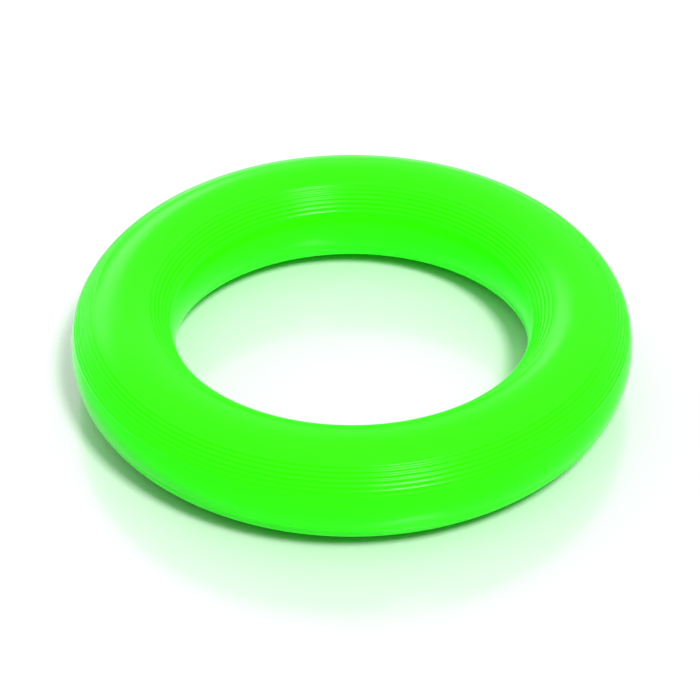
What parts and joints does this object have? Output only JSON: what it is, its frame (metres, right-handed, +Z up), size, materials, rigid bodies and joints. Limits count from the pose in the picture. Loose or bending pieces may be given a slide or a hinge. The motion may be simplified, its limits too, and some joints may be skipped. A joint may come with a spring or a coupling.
{
  "type": "flying ring",
  "caption": "Soft air-filled throwing ring: a fat round tube bent into a ring, with bands of fine grip ribs and a stoppered needle valve in the wall of its hole.",
  "frame": {"origin": "on the surface that the ring lies on, below the middle of its hole", "axes": "+Z up along the ring's axis; the needle valve is on the -Y side of the hole and faces +Y; +X completes a right-handed frame"},
  "size_m": [0.18, 0.18, 0.0333],
  "materials": {
    "skin": "satin",
    "valve_core": "matte",
    "valve_stopper": "satin"
  },
  "bodies": {
    "ring": {"ring_skin": "skin", "valve_core": "valve_core"},
    "stopper": {"valve_stopper": "valve_stopper"}
  },
  "joints": [
    {"name": "stopper_pull", "type": "slide", "parent": "ring", "child": "stopper", "axis": [0, 1, 0], "range_m": [0, 0.04]}
  ]
}
